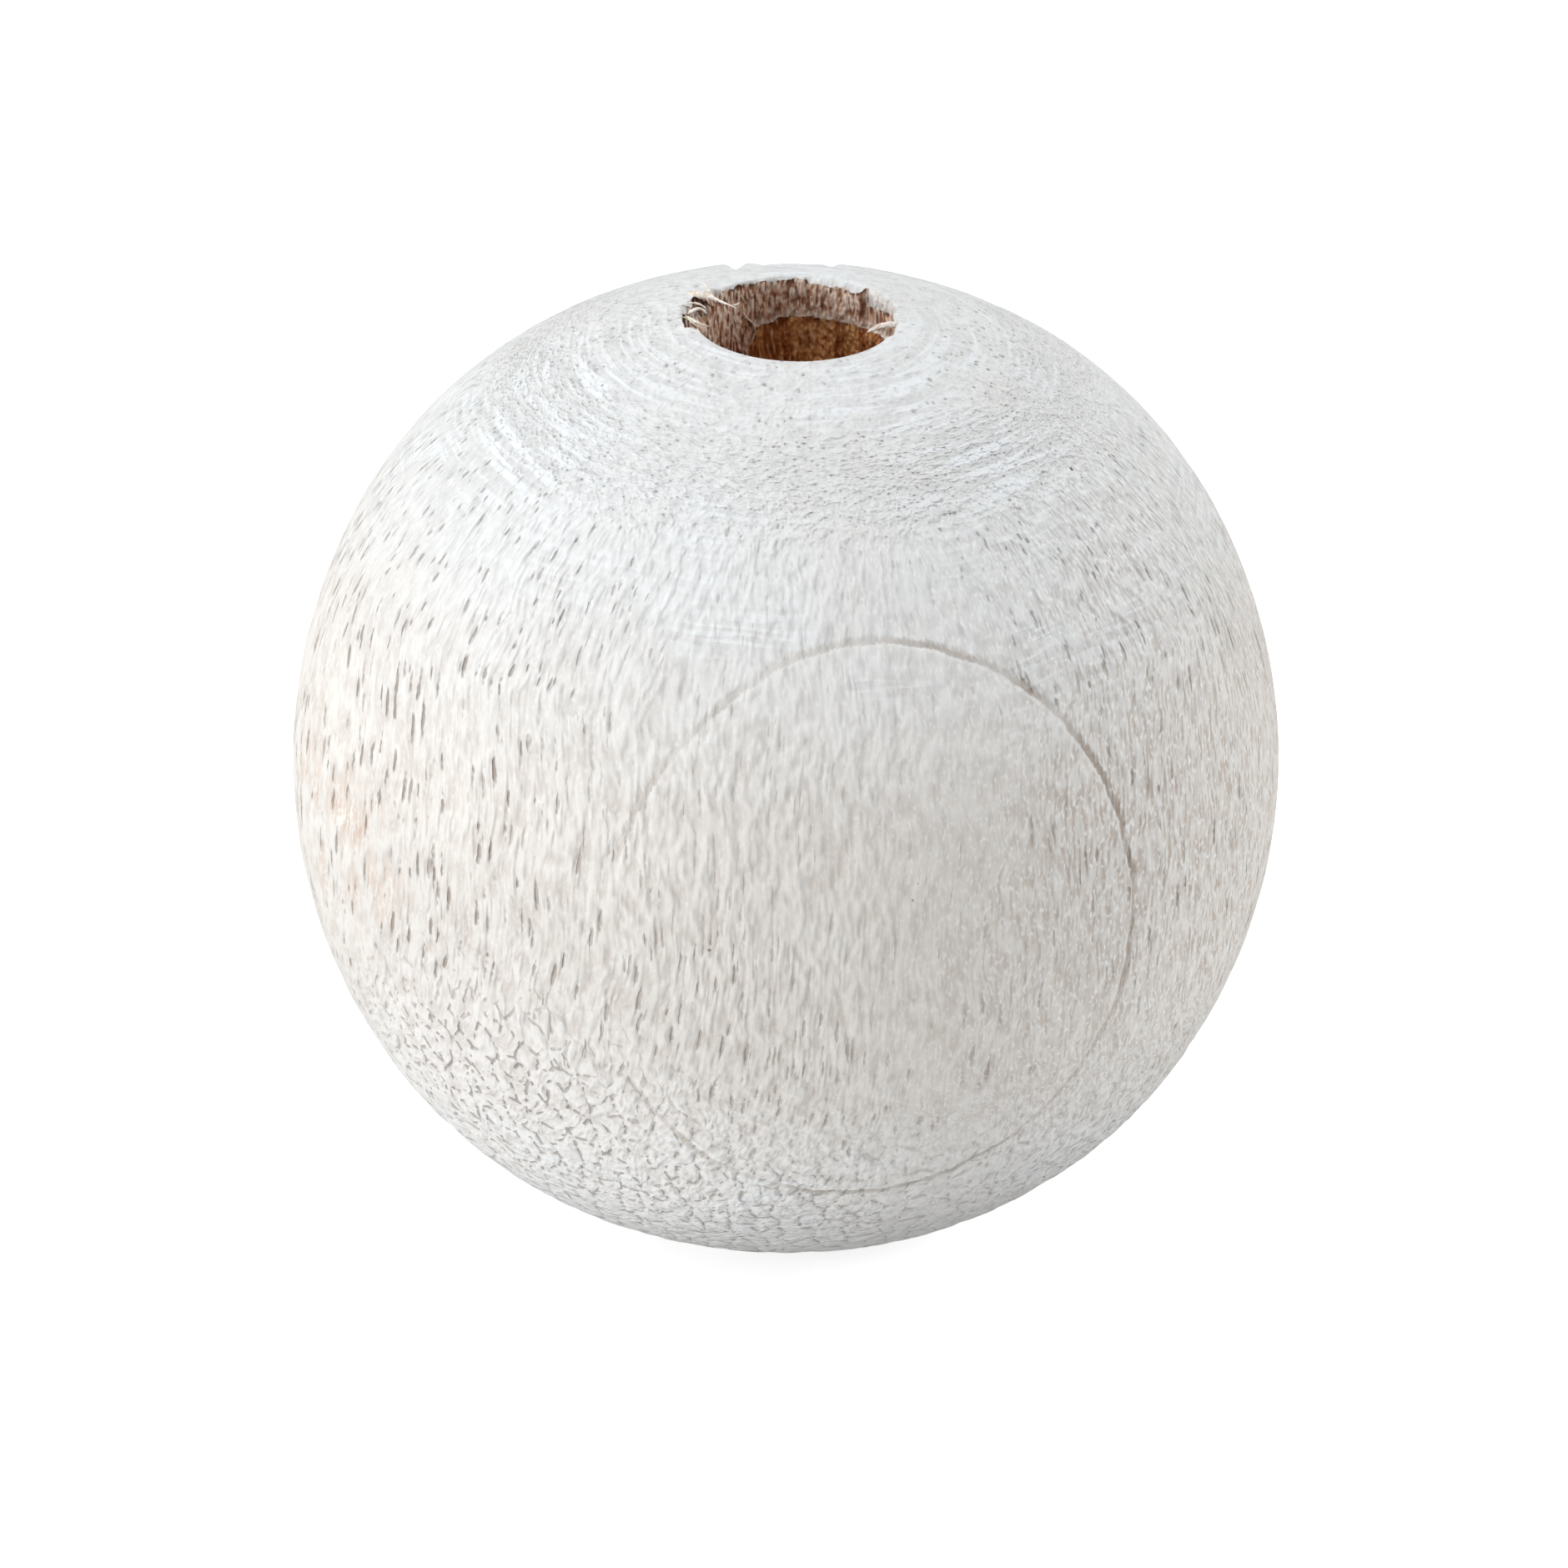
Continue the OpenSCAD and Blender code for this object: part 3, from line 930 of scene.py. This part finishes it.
# Each one: half its thickness, how green-yellow its wood is, and points along it. The points'
# heights are from the end face.
FIBRES = [
    (0.036, 0.0, [(-1.98, 1.78, -0.06), (-1.77, 1.34, 0.0), (-1.63, 0.84, 0.03),
                  (-1.43, 0.61, 0.03), (-1.12, 0.42, -0.03)]),
    (0.020, 0.0, [(-1.36, 0.56, 0.02), (-1.22, 0.53, 0.02), (-1.12, 0.66, 0.03)]),
    (0.095, 0.1, [(-2.14, 1.27, -0.06), (-1.97, 1.05, 0.0), (-1.80, 0.95, 0.01),
                  (-1.60, 0.80, -0.02)]),
    (0.022, 0.0, [(-2.35, 0.58, -0.05), (-2.13, 0.56, 0.03), (-1.93, 0.53, 0.03),
                  (-1.76, 0.43, -0.08)]),
    (0.055, 0.0, [(-2.16, 0.23, -0.08), (-2.03, 0.33, -0.02), (-1.89, 0.38, -0.02),
                  (-1.77, 0.34, -0.12)]),
    (0.018, 1.0, [(-2.39, -0.05, -0.02), (-2.21, -0.06, 0.0), (-2.04, -0.25, -0.03),
                  (-1.88, -0.37, -0.08)]),
    (0.036, 0.35, [(-2.21, 0.08, -0.03), (-2.02, -0.21, 0.0), (-1.85, -0.33, -0.03),
                   (-1.70, -0.32, -0.07)]),
    (0.018, 0.5, [(-1.24, 1.58, -0.10), (-1.08, 1.60, -0.29), (-0.96, 1.68, -0.50)]),
    (0.024, 0.2, [(-1.03, 1.69, -0.62), (-0.94, 1.73, -0.84), (-0.80, 1.80, -1.06),
                  (-0.84, 1.78, -1.30), (-0.86, 1.77, -1.50)]),
    (0.075, 0.0, [(1.45, -0.21, -0.18), (1.58, -0.11, -0.15), (1.74, -0.07, -0.10),
                  (1.96, -0.03, -0.07), (2.12, 0.30, -0.08)]),
]


def spindle(half, stations, seed):
    """Points of a bent spindle: the polynomial curve through the stations, and rings of points
    round it, flattened a little. A ring's radius is half the thickness by sin(pi t) to the power
    of its bluntness, at t of the way along, made uneven by noise."""
    stations = np.array(stations) + (0, 0, END_Z)
    steps = np.linalg.norm(np.diff(stations, axis=0), axis=1)
    reached = np.concatenate([[0], np.cumsum(steps)]) / steps.sum()
    t = np.linspace(0, 1, FIBRE_ROWS + 2)
    curve = np.polyfit(reached, stations, len(reached) - 1)
    line = (t[:, None, None] ** np.arange(len(curve))[::-1, None] * curve).sum(axis=1)
    along = np.gradient(line, axis=0)
    along /= np.linalg.norm(along, axis=1, keepdims=True)
    side = np.cross(along, (0, 0, 1))
    side /= np.linalg.norm(side, axis=1, keepdims=True)
    up = np.cross(side, along)
    turn = (np.arange(FIBRE_SIDES) * 2 * math.pi / FIBRE_SIDES)[None, :, None]
    out = np.cos(turn) * side[1:-1, None] + FIBRE_FLATNESS * np.sin(turn) * up[1:-1, None]
    radius = half * np.sin(math.pi * t[1:-1])[:, None, None] ** FIBRE_BLUNTNESS
    even = line[1:-1, None] + out * radius
    knots = 1 + FIBRE_UNEVEN * value_noise(even / KNOT_SIZE + 50, seed)
    rings = line[1:-1, None] + out * radius * knots[..., None]
    return np.concatenate([line[:1], rings.reshape(-1, 3), line[-1:]])


def spindle_faces(first):
    """Faces of a spindle whose points start at an index: four-sided between rings, and fans of
    three-sided ones at its two points."""
    rings = first + 1 + np.arange(FIBRE_ROWS * FIBRE_SIDES).reshape(FIBRE_ROWS, FIBRE_SIDES)
    around = np.roll(rings, -1, 1)
    sides = np.stack([rings[:-1], rings[1:], around[1:], around[:-1]], -1).reshape(-1, 4)
    root_point = np.full(FIBRE_SIDES, first)
    root = np.stack([root_point, rings[0], around[0]], -1)
    tip_point = np.full(FIBRE_SIDES, first + 1 + rings.size)
    tip = np.stack([tip_point, around[-1], rings[-1]], -1)
    return sides.tolist() + root.tolist() + tip.tolist()


fibre_points, fibre_faces, fibre_tints = [], [], []
for seed, (half, yellow, stations) in enumerate(FIBRES, 80):
    made = spindle(half, stations, seed)
    fibre_faces += spindle_faces(sum(map(len, fibre_points)))
    fibre_points.append(made)
    fibre_tints.append(np.full((len(made), 3), yellow))
fibre_mesh = bpy.data.meshes.new("torn_fibres")
fibre_mesh.from_pydata((np.concatenate(fibre_points) * MM).tolist(), [], fibre_faces)
fibre_mesh.polygons.foreach_set("use_smooth", [True] * len(fibre_mesh.polygons))
surface_values(fibre_mesh, "tint", np.concatenate(fibre_tints))
fibres = bpy.data.objects.new("torn_fibres", fibre_mesh)
bpy.context.scene.collection.objects.link(fibres)
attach(fibres, "root")

splinter, tree = new_finish("washed_splinter")
_, tint = read_values(tree, "tint")
place = shader_node(tree, "ShaderNodeTexCoord").outputs["Object"]
dab_inputs = {"Vector": place, "Scale": DABS_PER_MM / MM, "Detail": 2.0}
dabs = shader_node(tree, "ShaderNodeTexNoise", dab_inputs).outputs[0]
colour = blend(tree, ramp(tree, dabs, 0.35, 0.6), FIBRE_BARE, FIBRE_WASHED)
greenish = times(tree, tint[0], ramp(tree, dabs, 0.65, 0.4))
colour = blend(tree, greenish, colour, FIBRE_GREENISH)
set_skin(tree, colour, FIBRE_ROUGH, FIBRE_SHINE, dabs, DAB_RISE * MM)
fibre_mesh.materials.append(splinter)

# ------------------------------------------------------------------------------------------
# Floor, light and camera
# The bead stands on a flat white floor under three soft lamps, low on its left, high over its
# left and on its right, with white all round it. The camera looks down on it from the front.
IMAGE = 1880
CAMERA_DISTANCE = 0.4
CAMERA_ELEVATION = math.radians(26.06)
CAMERA_ROLL = math.radians(1.18)
PIXELS_PER_MM = 59.2
CENTRE_PX = (942.2, 906.9)
SENSOR = 36.0
NEAREST = 0.01
FLOOR_HALF = 0.6
FLOOR_GREY = 0.85
FLOOR_GLOW = 0.7
SKY_LEVEL = 0.28
SKY_SLANT = 0.24
# Each lamp: azimuth from +X, elevation, power and width
LAMPS = {
    "window": (210, 2, 1.55, 0.26),
    "top_light": (180, 75, 0.92, 0.22),
    "side_light": (0, 25, 0.62, 0.22),
}
LAMP_DISTANCE = 0.4

floor_mesh = bpy.data.meshes.new("floor")
corners = np.array([(-1, -1, 0), (1, -1, 0), (1, 1, 0), (-1, 1, 0)]) * FLOOR_HALF
corners = corners + (0, 0, -END_Z * MM)
floor_mesh.from_pydata(corners.tolist(), [], [(0, 1, 2, 3)])
floor = bpy.data.objects.new("floor", floor_mesh)
bpy.context.scene.collection.objects.link(floor)
floor_paint, tree = new_finish("floor")
floor_mesh.materials.append(floor_paint)
matt = tree.nodes["Principled BSDF"]
matt.inputs["Base Color"].default_value = (FLOOR_GREY, FLOOR_GREY, FLOOR_GREY, 1)
matt.inputs["Roughness"].default_value = 1.0
seen = shader_node(tree, "ShaderNodeLightPath").outputs["Is Camera Ray"]
tree.links.new(times(tree, seen, FLOOR_GLOW), matt.inputs["Emission Strength"])
matt.inputs["Emission Color"].default_value = (1, 1, 1, 1)

# White where the camera sees it, and on the bead a little brighter from behind
world = bpy.data.worlds.new("studio")
bpy.context.scene.world = world
world.use_nodes = True
sky = world.node_tree
sky.nodes["Background"].inputs["Color"].default_value = (1, 1, 1, 1)
seen = shader_node(sky, "ShaderNodeLightPath").outputs["Is Camera Ray"]
towards = shader_node(sky, "ShaderNodeTexCoord").outputs["Generated"]
behind = shader_node(sky, "ShaderNodeSeparateXYZ", {0: towards}).outputs[1]
level = add_times(sky, behind, SKY_SLANT, SKY_LEVEL)
sky.links.new(calc(sky, "MAXIMUM", seen, level), sky.nodes["Background"].inputs["Strength"])

for name, (azimuth, elevation, power, width) in LAMPS.items():
    lamp = bpy.data.lights.new(name, "AREA")
    lamp.energy = power
    lamp.size = width
    lamp_object = bpy.data.objects.new(name, lamp)
    a, b = math.radians(azimuth), math.radians(elevation)
    aim = Vector((math.cos(a) * math.cos(b), math.sin(a) * math.cos(b), math.sin(b)))
    lamp_object.location = aim * LAMP_DISTANCE
    lamp_object.rotation_euler = aim.to_track_quat("Z", "Y").to_euler()
    bpy.context.scene.collection.objects.link(lamp_object)

camera_data = bpy.data.cameras.new("camera")
camera = bpy.data.objects.new("camera", camera_data)
bpy.context.scene.collection.objects.link(camera)
back = Vector((0, -math.cos(CAMERA_ELEVATION), math.sin(CAMERA_ELEVATION)))
camera.matrix_world = (
    Matrix.Translation(back * CAMERA_DISTANCE)
    @ back.to_track_quat("Z", "Y").to_matrix().to_4x4()
    @ Matrix.Rotation(CAMERA_ROLL, 4, "Z")
)
frame_width = IMAGE / PIXELS_PER_MM * MM
camera_data.sensor_width = SENSOR
camera_data.lens = SENSOR * CAMERA_DISTANCE / frame_width
camera_data.shift_x = (IMAGE / 2 - CENTRE_PX[0]) / IMAGE
camera_data.shift_y = (CENTRE_PX[1] - IMAGE / 2) / IMAGE
camera_data.clip_start = NEAREST
bpy.context.scene.camera = camera
bpy.context.scene.view_settings.view_transform = "Standard"
